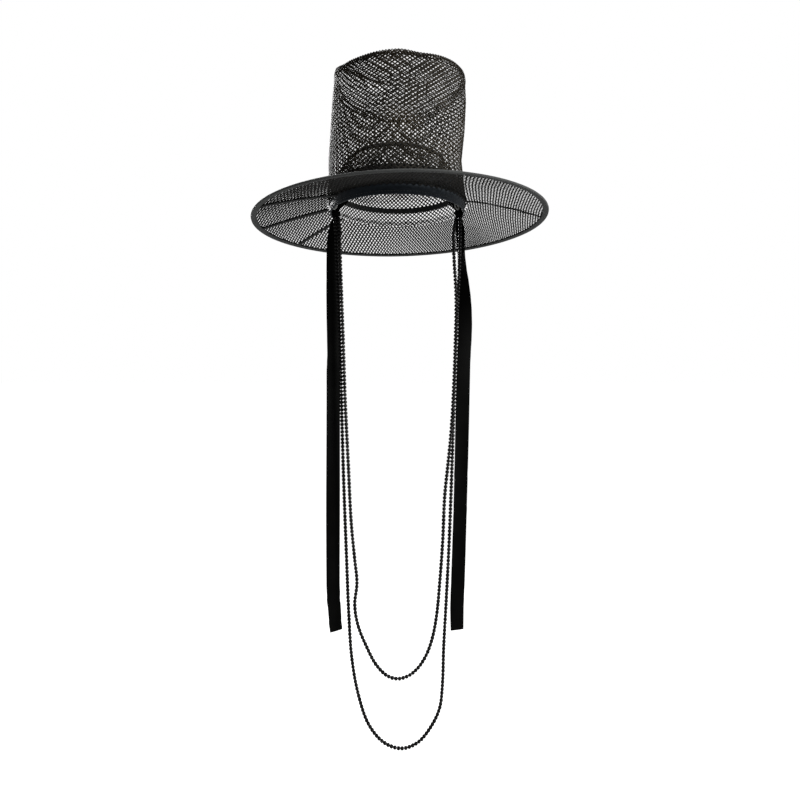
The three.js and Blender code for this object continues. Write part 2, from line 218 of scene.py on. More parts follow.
class Bundle:
    """Rows of points joined into quads, and bodies joined into one piece."""

    def __init__(self):
        self.points = []
        self.quads = []
        self.grain = []
        self.shade = []
        self.total = 0

    def add(self, rows, ring=False, shade=0.5):
        """Joins rows of points, each a closed loop. A ring's last row meets its first one."""
        rows = np.asarray(rows, float)
        count, size = rows.shape[:2]
        here = np.arange(count if ring else count - 1)
        i, j = np.meshgrid(here, np.arange(size), indexing="ij")
        i_next, j_next = (i + 1) % count, (j + 1) % size
        quads = np.stack([i * size + j, i * size + j_next, i_next * size + j_next, i_next * size + j], -1)
        u = lengths_along(np.concatenate([rows[:, 0], rows[:1, 0]]))
        v = lengths_along(np.concatenate([rows[0], rows[0, :1]]))
        grain = np.stack([
            np.stack([u[i], v[j]], -1), np.stack([u[i], v[j + 1]], -1),
            np.stack([u[i + 1], v[j + 1]], -1), np.stack([u[i + 1], v[j]], -1),
        ], -2)
        quads, grain = quads.reshape(-1, 4), grain.reshape(-1, 4, 2)
        if not ring:
            k = np.arange(size // 2 - 1)
            cap = np.stack([k, k + 1, size - 2 - k, size - 1 - k], -1)
            low, high = cap[:, ::-1], cap + (count - 1) * size
            quads = np.concatenate([quads, low, high])
            grain = np.concatenate([grain, np.zeros((2 * len(cap), 4, 2))])
        self.points.append(rows.reshape(-1, 3))
        self.quads.append(quads + self.total)
        self.grain.append(grain)
        self.shade.append(np.full(count * size, shade))
        self.total += count * size

    def thread(self, line, up, width, depth, sides=THREAD_SIDES):
        """A thread along a line of points, flat across up."""
        line, up = np.asarray(line), np.asarray(up)
        along = np.gradient(line, axis=0)
        across = np.cross(along, up)
        across /= np.linalg.norm(across, axis=1)[:, None]
        up = np.cross(across, along)
        up /= np.linalg.norm(up, axis=1)[:, None]
        turn = np.arange(sides) * 2 * np.pi / sides
        rows = (line[:, None] + across[:, None] * (np.cos(turn) * width / 2)[:, None]
                + up[:, None] * (np.sin(turn) * depth / 2)[:, None])
        self.add(rows, shade=chance.random())

    def piece(self, name, finish, slot, *nodes):
        """The finished piece, which rides on the hat and stands for the CAD nodes named."""
        points, quads = np.concatenate(self.points) * MM, np.concatenate(self.quads)
        mesh = bpy.data.meshes.new(name)
        mesh.vertices.add(len(points))
        mesh.vertices.foreach_set("co", points.ravel())
        mesh.loops.add(quads.size)
        mesh.loops.foreach_set("vertex_index", quads.ravel())
        mesh.polygons.add(len(quads))
        mesh.polygons.foreach_set("loop_start", np.arange(0, quads.size, 4))
        mesh.update(calc_edges=True)
        mesh.uv_layers.new(name="grain").data.foreach_set("uv", np.concatenate(self.grain).ravel())
        mesh.attributes.new("shade", "FLOAT", "POINT").data.foreach_set("value", np.concatenate(self.shade))
        mesh.polygons.foreach_set("use_smooth", np.ones(len(quads), bool))
        mesh.materials.append(finish.material)
        made = bpy.data.objects.new(name, mesh)
        bpy.context.scene.collection.objects.link(made)
        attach(made, "root")
        if nodes:
            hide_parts(*nodes)
        return made


def outward(angle):
    """Angles run from the front over the wearer's left."""
    return np.array([math.sin(angle), -math.cos(angle), 0.0])


def level_with(wall, angle, height):
    """The middle of a standing wall at an angle and a height."""
    axis = np.array([0, 0, height])
    return wall.middle(axis, axis + outward(angle) * BEYOND)


def stretched(angle, height):
    """A place on the mesh, pulled wider at the front and on the right and nowhere quite evenly."""
    uneven = 0.010 * math.sin(2 * angle + height / 17) + 0.006 * math.sin(5 * angle - height / 11)
    turned = angle + CROWN_OPEN * math.sin(angle) - CROWN_OPEN_SIDE * math.cos(angle) + uneven
    raised = height + 0.9 * math.sin(3 * angle + 1.3) * math.sin(height * math.pi / CROWN_TOP)
    return turned, raised


def climbing_threads(bundle, wall, count, step, low, high, width):
    """Threads that climb a standing wall both ways, crossing at every step."""
    places = np.arange(math.ceil(low / step), math.floor(high / step) + 1)
    lifts = np.where(places % 2, -1.0, 1.0)
    for way in (1, -1):
        for start in range(count):
            line, up = [], []
            for place, lift in zip(places, lifts):
                angle, height = stretched((start + way * place / 2) * 2 * math.pi / count, place * step)
                point = level_with(wall, angle, height)
                if point is None:
                    break
                up.append(outward(angle))
                line.append(point + up[-1] * way * lift * THREAD_RISE)
            if len(line) > 1:
                bundle.thread(line, up, width, THREAD_DEPTH)


mesh_finish = Finish("stiffened_mesh", Specular_IOR_Level=0.01)
thread_tint = mesh_finish.node("Attribute", {"attribute_name": "shade"}, {}, "Fac")
thread_way = mesh_finish.node("UVMap", {"uv_map": "grain"}, {})
thread_place = mesh_finish.node("TexCoord", {}, {}, "Object")
fibre_way = mesh_finish.node("Mapping", {}, {"Vector": thread_way, "Scale": (0.25, 5.0, 1.0)})
fibres = mesh_finish.noise(fibre_way, 1.0, 3.0)
wear_and_light_patches = mesh_finish.noise(thread_place, 22.0, 3.0)
thread_colour = mesh_finish.between(thread_tint, (0.0025, 0.0025, 0.0024), (0.0080, 0.0077, 0.0070))
thread_height = mesh_finish.node("SeparateXYZ", {}, {"Vector": thread_place}, "Z")
on_crown = mesh_finish.node("MapRange", {}, {"Value": thread_height, "From Min": 0.005, "From Max": 0.05})
# Lighter brown patches on the crown's threads: partly wear, partly painted warm light falling on the crown.
# They fade out below the crown, so the brim's threads stay darker, as painted shade.
wear_and_warm_light_colour = mesh_finish.between(wear_and_light_patches ** 2.0 * on_crown, thread_colour, (0.020, 0.0155, 0.0095))
mesh_finish.show(
    Base_Color=wear_and_warm_light_colour,
    Roughness=fibres * 0.25 + 0.42,
    Normal=mesh_finish.raised(fibres, 0.00012, 0.6),
)

crown_wall = Wall("crown_wall")
crown_low, crown_high = (corner.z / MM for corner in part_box("crown_wall"))
crown_mesh = Bundle()
climbing_threads(crown_mesh, crown_wall, CROWN_THREADS, CROWN_STEP, crown_low, crown_high, THREAD_WIDTH)
crown_mesh.piece("crown_wall_mesh", mesh_finish, "mesh", "crown_wall")

# Crown top. A round of the same mesh laid over the wall's edge. It is cut straight, so its
# threads run in two straight sets, and it dips a little in the middle.
TOP_PITCH = 5.8                 # between threads, measured along X
TOP_SLANT = 1.0                 # sideways for each millimetre back
TOP_REACH = 90                  # from the axis, further than the top
LAY_STEP = 0.5                  # between places where a thread's course is worked out
CROSSING_TRIES = 14             # to find where a thread meets the other set
CROSSING_SHARE = 0.7            # of what is missing, made up at each try


def laid_threads(bundle, on_cloth, half, pitch, courses, cover):
    """Two sets of threads laid nearly flat. The thread of number n lies at
    x = courses[set](n * pitch, y) and covers a share of the way from its neighbour to the next,
    and on_cloth lifts a place to the cloth or gives None."""
    back = np.arange(-half, half, LAY_STEP)
    reach = 2 * half / pitch
    for this, other in ((0, 1), (1, 0)):
        way = 1 - 2 * this
        for number in range(math.ceil(-reach), math.floor(reach) + 1):
            before, after = (courses[this]((number + shift) * pitch, 0) for shift in (-0.5, 0.5))
            width = cover * (after - before)
            side = courses[this](number * pitch, back)
            along = side.copy()
            for _ in range(CROSSING_TRIES):
                along -= CROSSING_SHARE * (courses[other](along, back) - side)
            crossed = along / pitch
            order = 1 if crossed[-1] > crossed[0] else -1
            first, last = sorted((crossed[0], crossed[-1]))
            at = np.arange(math.ceil(first), math.floor(last) + 1)[::order]
            ys = np.interp(order * at, order * crossed, back)
            places = list(zip(np.interp(ys, back, side), ys))
            lifts = np.where((at + number) % 2, -1.0, 1.0) * way * THREAD_RISE
            points = [on_cloth(x, y) for x, y in places]
            run = []
            for i, point in enumerate([*points, None]):
                if point is not None:
                    run.append(i)
                    continue
                if len(run) > 1:
                    line = [
                        *last_on(on_cloth, places, run[0], run[0] - 1),
                        *[points[k] + np.array([0, 0, lifts[k]]) for k in run],
                        *last_on(on_cloth, places, run[-1], run[-1] + 1),
                    ]
                    bundle.thread(line, np.tile([0.0, 0.0, 1.0], (len(line), 1)), width, THREAD_DEPTH)
                run = []


def last_on(on_cloth, places, end, beyond):
    """The last point of the cloth between one place and the next, in a list, or an empty list."""
    if not 0 <= beyond < len(places):
        return []
    inside, outside = np.array(places[end]), np.array(places[beyond])
    found = []
    for _ in range(6):
        middle = (inside + outside) / 2
        point = on_cloth(*middle)
        if point is None:
            outside = middle
        else:
            inside, found = middle, [point]
    return found


top_wall = Wall("crown_top")
top_centre = sum(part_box("crown_top"), Vector()).x / 2 / MM
top_courses = (
    lambda along, back: along + top_centre + TOP_SLANT * back,
    lambda along, back: along + top_centre - TOP_SLANT * back,
)


def on_top(x, y):
    return top_wall.middle((x, y, BEYOND), (x, y, 0))


top_mesh = Bundle()
laid_threads(top_mesh, on_top, TOP_REACH, TOP_PITCH, top_courses, THREAD_WIDTH / TOP_PITCH)
top_mesh.piece("crown_top_mesh", mesh_finish, "mesh", "crown_top")

# Brim. One sheet of the mesh, stretched over a round form. Its threads run mostly from front to
# back, closest together on the right, and a collar of the same mesh stands up against the crown.
BRIM_PITCH = 4.3
BRIM_COVER = 0.57               # of the way from thread to thread
BRIM_OPEN = 0.12                # how much wider the threads lie in the middle
BRIM_OPEN_REACH = 75
BRIM_LEFT, BRIM_RIGHT = -40, 30                     # where they begin to lie closer
BRIM_CLOSE_LEFT, BRIM_CLOSE_RIGHT = 0.06, 0.26      # how much closer they get
BRIM_CLOSE_REACH = 40
BRIM_REACH = 192                # from the axis, further than the brim
BRIM_CLEAR = 60                 # higher and lower than any part of the brim
OPENING_RADIUS = 90.1
COLLAR_LOW, COLLAR_HIGH = 0.2, 6.9
COLLAR_THREADS = 108            # each way round
COLLAR_STEP = 2.1
COLLAR_WIDTH = 0.9

brim_wall = Wall("brim")


def across_brim(wall, x, y):
    """The middle of a lying wall of the brim or under it."""
    return wall.middle((x, y, BRIM_CLEAR), (x, y, -BRIM_CLEAR))


def on_brim(x, y):
    """The middle of the brim outside its collar."""
    if math.hypot(x, y) < OPENING_RADIUS:
        return None
    return across_brim(brim_wall, x, y)


def brim_spread(along, back):
    """Where the threads start, a little uneven, as the cloth was stretched over its form."""
    uneven = 0.35 * np.sin(back / 21 + along / 34) + 0.15 * np.sin(back / 9 - along / 47)
    left, right = along - BRIM_LEFT, along - BRIM_RIGHT
    closer = (BRIM_CLOSE_LEFT / 2 * left * (1 - np.tanh(left / BRIM_CLOSE_REACH))
              + BRIM_CLOSE_RIGHT / 2 * right * (1 + np.tanh(right / BRIM_CLOSE_REACH)))
    return along + BRIM_OPEN * BRIM_OPEN_REACH * np.tanh(along / BRIM_OPEN_REACH) - closer + uneven


def brim_first(along, back):
    """One set leans one way, more so towards the back."""
    lean = 0.34 - 0.14 * np.tanh((along / 110) ** 2)
    return brim_spread(along, back) + lean * back + 0.00048 * back * back


def brim_second(along, back):
    """The other set leans the other way, most of all on the left."""
    lean = 0.33 + 0.12 * (1 - np.tanh((along + 60) / 90))
    return brim_spread(along, back) - lean * back


brim_mesh = Bundle()
laid_threads(brim_mesh, on_brim, BRIM_REACH, BRIM_PITCH, (brim_first, brim_second), BRIM_COVER)
climbing_threads(brim_mesh, brim_wall, COLLAR_THREADS, COLLAR_STEP, COLLAR_LOW, COLLAR_HIGH, COLLAR_WIDTH)
brim_mesh.piece("brim_mesh", mesh_finish, "mesh", "brim")

# Inner band. A low collar of the mesh inside the crown, standing on the wall at its foot and
# leaning in to a smaller ring, which rests on the wearer's topknot.
INNER_THREADS = 82
INNER_STEP = 2.5
INNER_WIDTH = 0.65

inner_wall = Wall("inner_band")
inner_low, inner_high = (corner.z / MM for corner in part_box("inner_band"))
inner_mesh = Bundle()
climbing_threads(inner_mesh, inner_wall, INNER_THREADS, INNER_STEP, inner_low, inner_high, INNER_WIDTH)
inner_mesh.piece("inner_band_mesh", mesh_finish, "mesh", "inner_band")

# Bindings. The brim's rim and both edges of the inner band are closed in a folded bias tape of
# charcoal cotton, sewn through with a running stitch that pulls little dimples in it. The crown's
# top edge is closed with a folded strip of finer mesh.
TAPE_SLOT = 0.65                # from the middle of the cloth to the inside of the tape
TAPE_OUT = 1.35                 # and to its outside
TAPE_FOLD = 1.4                 # from the cloth's edge to the outside of the fold
TAPE_ROW = 1.5                  # from the hem to the stitches
TAPE_RIPPLE = 0.05
STITCH_PITCH = 3.6
STITCH_WIDTH = 0.55
DIMPLE = 0.2
EDGE_SAMPLES = 256
EDGE_WAVES = 30                 # waves round the hat that an edge keeps, which rounds off its facets
EDGE_FINE = 4                   # rows of points for each stitch or thread round an edge

tape_finish = Finish("bias_tape", Specular_IOR_Level=0.03, Sheen_Weight=0.04, Sheen_Roughness=0.6)
tape_way = tape_finish.node("UVMap", {"uv_map": "grain"}, {})
tape_place = tape_finish.node("TexCoord", {}, {}, "Object")
twill = [
    tape_finish.node(
        "TexWave", {"bands_direction": "DIAGONAL"},
        {"Vector": tape_finish.node("Mapping", {}, {"Vector": tape_way, "Scale": scale}), "Scale": 0.9,
         "Distortion": 1.2, "Detail Scale": 2.0},
    ) for scale in ((1, 1, 1), (1, -1, 1))
]
tape_weave = twill[0] * twill[1]
tape_cloud = tape_finish.noise(tape_place, 30.0, 4.0)
tape_mottle = tape_weave * 0.5 + tape_cloud * 0.5
# The shade attribute paints light and shade into the one charcoal tape. The rim is painted lighter, as
# painted light where it catches the light. The inner band's edges are painted darker, as painted shade
# inside the crown. The stays are painted darkest, partly for their black tape and partly as painted shade
# under the brim.
tape_light_and_shade = tape_finish.node("Attribute", {"attribute_name": "shade"}, {}, "Fac")
tape_finish.show(
    Base_Color=tape_finish.between(
        tape_light_and_shade,
        tape_finish.between(tape_mottle, (0.0012, 0.0013, 0.0013), (0.004, 0.0041, 0.0040)),
        tape_finish.between(tape_mottle, (0.011, 0.0117, 0.0115), (0.032, 0.0330, 0.0320))),
    Roughness=tape_cloud * 0.2 + 0.62,
    Normal=tape_finish.raised(tape_weave, 0.00022, 0.7),
)

stitch_finish = Finish("sewing_thread", Specular_IOR_Level=0.3)
stitch_way = stitch_finish.node("UVMap", {"uv_map": "grain"}, {})
stitch_twist = stitch_finish.node(
    "TexWave", {"bands_direction": "DIAGONAL"}, {"Vector": stitch_way, "Scale": 1.4})
stitch_finish.show(
    Base_Color=stitch_finish.between(stitch_twist, (0.005, 0.005, 0.005), (0.016, 0.016, 0.0155)),
    Roughness=stitch_twist * 0.2 + 0.4,
    Normal=stitch_finish.raised(stitch_twist, 0.00008),
)


def smooth_edge(find, inside, outside, back_off):
    """The edge of a cloth all round: its points, and the direction that runs off it there."""
    edges, backs = [], []
    for i in range(EDGE_SAMPLES):
        angle = i * 2 * math.pi / EDGE_SAMPLES
        on, off = inside, outside
        for _ in range(12):
            middle = (on + off) / 2
            if find(angle, middle) is None:
                off = middle
            else:
                on = middle
        edges.append(find(angle, on))
        backs.append(find(angle, on + back_off))
    smooth = []
    for points in (edges, backs):
        waves = np.fft.rfft(np.array(points), axis=0)
        waves[EDGE_WAVES:] = 0
        smooth.append(np.fft.irfft(waves, EDGE_SAMPLES, axis=0))
    return smooth[0], smooth[1]


def read_at(at, known, points):
    """A line of points read at one or more places, given the places of its own points."""
    return np.stack([np.interp(at, known, column) for column in np.array(points).T], -1)


def round_reading(points, count):
    """Points round the hat read again at another count."""
    looped = np.concatenate([points, points[:1]])
    return read_at(np.arange(count) / count * len(points), np.arange(len(looped)), looped)


def edge_frame(edge, back, count):
    """At each place round an edge: the point, the way off the cloth, and the cloth's upper side."""
    edge, back = round_reading(edge, count), round_reading(back, count)
    off = edge - back
    off /= np.linalg.norm(off, axis=1)[:, None]
    along = np.roll(edge, -1, axis=0) - np.roll(edge, 1, axis=0)
    up = np.cross(along, off)
    up /= np.linalg.norm(up, axis=1)[:, None]
    return edge, off, up


def folded(hem):
    """The loop of a tape folded over an edge, from its upper hem round the fold to its lower hem.
    Each point has its way off the cloth, its height over it, and how much a stitch pulls it in."""
    outside = [
        (hem, 0.85, 0.0), (hem + 0.5, 1.28, 0.2), (hem + TAPE_ROW, TAPE_OUT, 1.0),
        (hem + 2.6, TAPE_OUT, 0.3), (-0.2, TAPE_OUT, 0.0), (0.95, 1.0, 0.0), (1.32, 0.45, 0.0),
    ]
    inside = [(0.65, 0.3, 0.0), (0.1, 0.58, 0.0), (hem + 2.6, TAPE_SLOT, 0.0), (hem + 0.5, 0.6, 0.0)]
    below = [(along, -height, dent) for along, height, dent in [*inside, *outside][::-1]]
    return [*outside, *below, *inside]


def folded_tape(name, edge, back, width, shade, node):
    """A tape folded and sewn round an edge."""
    hem = TAPE_FOLD - width
    length = lengths_along(edge)[-1]
    stitches = round(length / STITCH_PITCH)
    count = stitches * EDGE_FINE
    place, off, up = edge_frame(edge, back, count)
    turn = np.arange(count) * 2 * np.pi / count
    pull = 0.5 + 0.5 * np.cos(turn * stitches)
    ripple = TAPE_RIPPLE * sum(
        chance.normal() * np.sin(turn * n + chance.random() * 6.3) for n in range(9, 60, 4))
    rows = [
        place + off * (along + ripple * abs(along) / width)[:, None]
        + up * (height - np.sign(height) * DIMPLE * dent * pull)[:, None]
        for along, height, dent in folded(hem)
    ]
    tape = Bundle()
    tape.add(np.stack(rows, 1), ring=True, shade=shade)
    tape.piece(name, tape_finish, "tape", node)
    sewing = Bundle()
    for side in (1, -1):
        centre = place + off * (hem + TAPE_ROW) + up * side * (TAPE_OUT - DIMPLE)
        for k in range(stitches):
            near = (np.arange(1, 4) + k * EDGE_FINE) % count
            lift = up[near] * side
            line = centre[near] + lift * np.array([[-0.3], [0.25], [-0.3]])
            sewing.thread(line, lift, STITCH_WIDTH, STITCH_WIDTH)
    sewing.piece(name + "_stitches", stitch_finish, "tape")


rim_edge, rim_back = smooth_edge(
    lambda angle, radius: on_brim(*(outward(angle) * radius)[:2]), 178, 196, -5)
# Shade 1.0 paints the rim's tape lightest, as painted light.
folded_tape("rim_binding_tape", rim_edge, rim_back, 7.0, 1.0, "rim_binding")


def on_inner_band(angle, height):
    return level_with(inner_wall, angle, height)


ring_edge, ring_back = smooth_edge(on_inner_band, inner_high - 6, inner_high + 2, -5)
# Shade 0.4 paints the ring's tape darker, as painted shade inside the crown.
folded_tape("inner_band_ring_binding", ring_edge, ring_back, 7.0, 0.4, "inner_band_ring_tape")
foot_edge, foot_back = smooth_edge(on_inner_band, inner_low + 3, inner_low - 2, 3)
# Shade 0.1 paints the foot's tape darker still, as painted shade low inside the crown.
folded_tape("inner_band_foot_binding", foot_edge, foot_back, 7.5, 0.1, "inner_band_foot_tape")

SEAM_LINE = np.array([          # off the crown's top edge, and over it
    (-5.2, 1.3), (-3.4, 1.5), (-1.4, 1.5), (0.5, 1.45), (1.9, 0.9), (2.25, -0.3), (2.2, -1.7), (1.9, -3.2),
])
SEAM_THREADS = 140              # each way round
SEAM_THREAD_WIDTH = 1.35
SEAM_THREAD_DEPTH = 0.4
SEAM_RISE = 0.22                # of a thread over the one that it crosses
SEAM_LEAN = 0.8                 # sideways for each millimetre over the edge

top_edge, top_back = smooth_edge(
    lambda angle, height: level_with(crown_wall, angle, height), 148, 175, -5)
place, off, up = edge_frame(top_edge, top_back, SEAM_THREADS * EDGE_FINE)
spacing = np.linalg.norm(np.diff(place, axis=0), axis=1).mean()
leans = np.round(lengths_along(SEAM_LINE) * SEAM_LEAN / spacing).astype(int)
lifts = SEAM_RISE * np.where(np.arange(len(SEAM_LINE)) % 2, -1, 1)
normals = np.gradient(SEAM_LINE, axis=0)[:, ::-1] * (-1, 1)
normals /= np.linalg.norm(normals, axis=1)[:, None]
seam_strip = Bundle()
for way in (1, -1):
    along, height = (SEAM_LINE + normals * way * lifts[:, None]).T
    for start in range(SEAM_THREADS):
        at = (start * EDGE_FINE + way * leans) % len(place)
        line = place[at] + off[at] * along[:, None] + up[at] * height[:, None]
        facing = off[at] * normals[:, :1] + up[at] * normals[:, 1:]
        seam_strip.thread(line, facing, SEAM_THREAD_WIDTH, SEAM_THREAD_DEPTH)
seam_strip.piece("top_seam_strip", mesh_finish, "mesh", "top_seam_tape")

# Stays. Flat ribs under the brim, covered in black tape and caught down with small stitches.
# The thin one on the right covers the seam that closes the brim's sheet.
STAY_STEPS = 40
STAY_RADII = np.linspace(80, 190, 221)
STAY_FAN = 0.35                 # each way from a stay's middle, more than its ends turn
STAY_TURN = 0.004
STAY_PROFILE = [
    (-1, -0.4), (-0.94, -0.72), (-0.5, -0.86), (0.5, -0.86), (0.94, -0.72), (1, -0.4),
    (1, 0.5), (0.94, 0.68), (-0.94, 0.68), (-1, 0.5),
]
CATCH_PITCH = 9.0
CATCH_BEND = [(-1.06, 0.7), (-1.06, -0.7), (-0.6, -1.02), (0.6, -1.02), (1.06, -0.7), (1.06, 0.7)]


def stay(node):
    """A covered rib along the middle of a stay of the CAD model, with its small stitches."""
    wall = Wall(node)
    corners = [np.array(corner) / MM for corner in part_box(node)]
    middle = sum(corners) / 2
    towards = math.atan2(middle[0], -middle[1])
    line, sideways, halves = [], [], []
    for radius in STAY_RADII:
        found = []
        for angle in np.arange(towards - STAY_FAN, towards + STAY_FAN, STAY_TURN):
            x, y, _ = outward(angle) * radius
            point = across_brim(wall, x, y)
            if point is not None:
                found.append((angle, point))
        if found:
            line.append(found[len(found) // 2][1])
            middle_angle = (found[0][0] + found[-1][0]) / 2
            sideways.append((math.cos(middle_angle), math.sin(middle_angle), 0))
            halves.append((found[-1][0] - found[0][0] + STAY_TURN) * radius / 2)
    half = np.median(halves)
    known = np.arange(len(line))
    at = np.linspace(0, len(line) - 1, STAY_STEPS)
    curves = [np.polynomial.Polynomial.fit(known, column, 3) for column in np.array(line).T]
    line = np.stack([curve(at) for curve in curves], 1)
    sideways = read_at(at, known, sideways)
    rows = []
    for k, point in enumerate(line):
        end = min(k, STAY_STEPS - 1 - k)
        full = min(1.0, 0.7 + 0.2 * end)
        wander = 0.12 * math.sin(k * 0.9 + towards) + 0.08 * math.sin(k * 2.3)
        rows.append([point + sideways[k] * (across * half * full + wander) + (0, 0, height)
                     for across, height in STAY_PROFILE])
    body = Bundle()
    # Shade 0.0 paints the stay covers darkest: partly their black tape, partly painted shade under the
    # brim.
    body.add(rows, shade=0.0)
    body.piece(node + "_cover", tape_finish, "tape", node)
    far = lengths_along(line)
    steps = np.arange(STAY_STEPS)
    catches = Bundle()
    for reach in np.arange(CATCH_PITCH / 2, far[-1], CATCH_PITCH):
        k = np.interp(reach, far, steps)
        centre = read_at(k, steps, line)
        beside = sideways[round(k)]
        onward = np.cross((0, 0, 1), beside)
        loop = [centre + beside * across * half + onward * 0.5 * across + (0, 0, height)
                for across, height in CATCH_BEND]
        facing = [beside * across + np.array([0, 0, height]) for across, height in CATCH_BEND]
        catches.thread(loop, facing, STITCH_WIDTH, STITCH_WIDTH)
    catches.piece(node + "_stitches", stitch_finish, "tape")


for side in ("left_front", "left_side", "left_back", "right_side"):
    stay("brim_stay_" + side)

# Headband. A smooth strip of dark sateen round the front half of the opening, turned in at both
# edges and sewn, where it lies against the forehead.
HEADBAND_COLUMNS = 260
HEADBAND_ROWS = 12
HEADBAND_HALF = 0.75            # of its thickness
HEADBAND_LIP = 0.6              # the rounded part at each edge
HEADBAND_HEM = 3.2              # from there to the line of stitches
HEADBAND_HEM_DEPTH = 0.22
HEADBAND_RADIUS = 86
HEADBAND_TURN = 0.002           # in radians, to find its ends
HEADBAND_ENDS = 0.03            # left without stitches, in radians

sateen = Finish("dark_sateen", Specular_IOR_Level=0.06, Sheen_Weight=0.10, Sheen_Roughness=0.4)
sateen_way = sateen.node("UVMap", {"uv_map": "grain"}, {})
sateen_place = sateen.node("TexCoord", {}, {}, "Object")
sateen_yarns = sateen.node(
    "TexWave", {"bands_direction": "Y"},
    {"Vector": sateen.node("Mapping", {}, {"Vector": sateen_way, "Scale": (0.4, 1, 1)}), "Scale": 1.1,
     "Distortion": 1.5, "Detail": 3.0, "Detail Scale": 2.0})
sateen_cloud = sateen.noise(sateen_place, 26.0, 4.0)
sateen.show(
    Base_Color=sateen.between(sateen_cloud, (0.0022, 0.0036, 0.0052), (0.0042, 0.0064, 0.0086)),
    Roughness=sateen_yarns * 0.12 + 0.46,
    Normal=sateen.raised(sateen_yarns, 0.00010, 0.5),
)

band_wall = Wall("headband")
band_low, band_high = (corner.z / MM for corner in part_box("headband"))
band_end = 0
while level_with(band_wall, band_end + HEADBAND_TURN, 0) is not None:
    band_end += HEADBAND_TURN
band_heights = np.linspace(band_low + HEADBAND_LIP, band_high - HEADBAND_LIP, HEADBAND_ROWS)
hem = np.exp(-((band_heights - band_heights[0] - HEADBAND_HEM) / 1.1) ** 2)
hem += np.exp(-((band_heights[-1] - band_heights - HEADBAND_HEM) / 1.1) ** 2)
half = HEADBAND_HALF - HEADBAND_HEM_DEPTH * hem
band_rows = []
for turn in np.linspace(-band_end, band_end, HEADBAND_COLUMNS):
    out = outward(turn)
    middles = np.array([level_with(band_wall, turn, height) for height in band_heights])
    wave = 0.16 * math.sin(turn * 17) + 0.1 * math.sin(turn * 41 + 1.0)
    outer = middles + out * (half + wave * 0.3)[:, None]
    inner = middles - out * (half - wave * 0.3)[:, None]
    low = middles[0] - (0, 0, HEADBAND_LIP)
    high = middles[-1] + (0, 0, HEADBAND_LIP)
    lip = out * 0.4
    band_rows.append([low + lip, *outer, high + lip, high - lip, *inner[::-1], low - lip])
band = Bundle()
band.add(band_rows)
band.piece("headband_strip", sateen, "band", "headband")


def on_face(turn, height, side):
    """A place on the headband's face, outside or inside."""
    return level_with(band_wall, turn, height) + outward(turn) * side * HEADBAND_HALF


low_row = band_low + HEADBAND_HEM + HEADBAND_LIP
high_row = band_high - HEADBAND_HEM - HEADBAND_LIP
pitch = STITCH_PITCH / HEADBAND_RADIUS
band_sewing = Bundle()
for height, sides in ((low_row, (1, -1)), (high_row, (-1,))):
    for turn in np.arange(-band_end + HEADBAND_ENDS, band_end - HEADBAND_ENDS - pitch, pitch):
        for side in sides:
            span = turn + pitch * np.array([0.15, 0.42, 0.7])
            out = np.array([outward(angle) * side for angle in span])
            face = np.array([on_face(angle, height, side) for angle in span])
            line = face + out * np.array([[-0.4], [-0.02], [-0.4]])
            band_sewing.thread(line, out, STITCH_WIDTH, STITCH_WIDTH)
band_sewing.piece("headband_stitches", stitch_finish, "band")

# Ribbons. Two tie ribbons of black satin, sewn inside the crown, gathered in a knot each side of
# the opening and hanging free to chest height. They are single strips with woven edges.
RIBBON_WIDTH = 18.0
RIBBON_STEP = 2.5
RIBBON_COLUMNS = 33
RIBBON_THICKNESS = 0.36
RIBBON_PLEATS = 3
RIBBON_NARROWEST = 0.33         # of its width, in the knot
RIBBON_FREE = 60                # below the knot, from where it curls in full

satin = Finish("black_satin", Specular_IOR_Level=0.01, Anisotropic=0.4)
satin_way = satin.node("UVMap", {"uv_map": "grain"}, {})
satin_place = satin.node("TexCoord", {}, {}, "Object")
satin_yarns = satin.node(
    "TexWave", {"bands_direction": "X"},
    {"Vector": satin_way, "Scale": 0.8, "Distortion": 0.6, "Detail": 2.0})
satin_cloud = satin.noise(satin_place, 35.0, 3.0)
satin.show(
    Base_Color=satin.between(satin_cloud, (0.0004, 0.0004, 0.0004), (0.0014, 0.0014, 0.0013)),
    Roughness=satin_yarns * 0.1 + satin_cloud * 0.14 + 0.34,
    Normal=satin.raised(satin_yarns, 0.00005, 0.5),
)


def slice_at(points, edges, height):
    """Where a CAD node's edges cross a height."""
    a, b = points[edges[:, 0]], points[edges[:, 1]]
    crossing = (a[:, 2] - height) * (b[:, 2] - height) < 0
    a, b = a[crossing], b[crossing]
    share = (height - a[:, 2]) / (b[:, 2] - a[:, 2])
    return a + (b - a) * share[:, None]


def ribbon_path(node):
    """Down a ribbon: its middle, the way across it, and its width, at each height."""
    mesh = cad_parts[node].data
    points = np.array([vertex.co for vertex in mesh.vertices]) / MM
    edges = np.array([edge.vertices for edge in mesh.edges])
    low, high = points[:, 2].min(), points[:, 2].max()
    rows = []
    last = None
    for height in np.arange(high - 0.4, low + 0.2, -RIBBON_STEP):
        found = slice_at(points, edges, height)[:, :2]
        middle = found.mean(0)
        _, _, ways = np.linalg.svd(found - middle)
        across = ways[0]
        if last is None:
            across = across if across[0] > 0 else -across
        elif across @ last < 0:
            across = -across
        last = across
        reach = (found - middle) @ across
        rows.append([*middle, height, *across, reach.max() - reach.min()])
    rows = np.array(rows)
    weights = np.array([1, 2, 3, 2, 1]) / 9
    padded = np.concatenate([rows[:1], rows[:1], rows, rows[-1:], rows[-1:]])
    return sum(weight * padded[k:k + len(rows)] for k, weight in enumerate(weights))


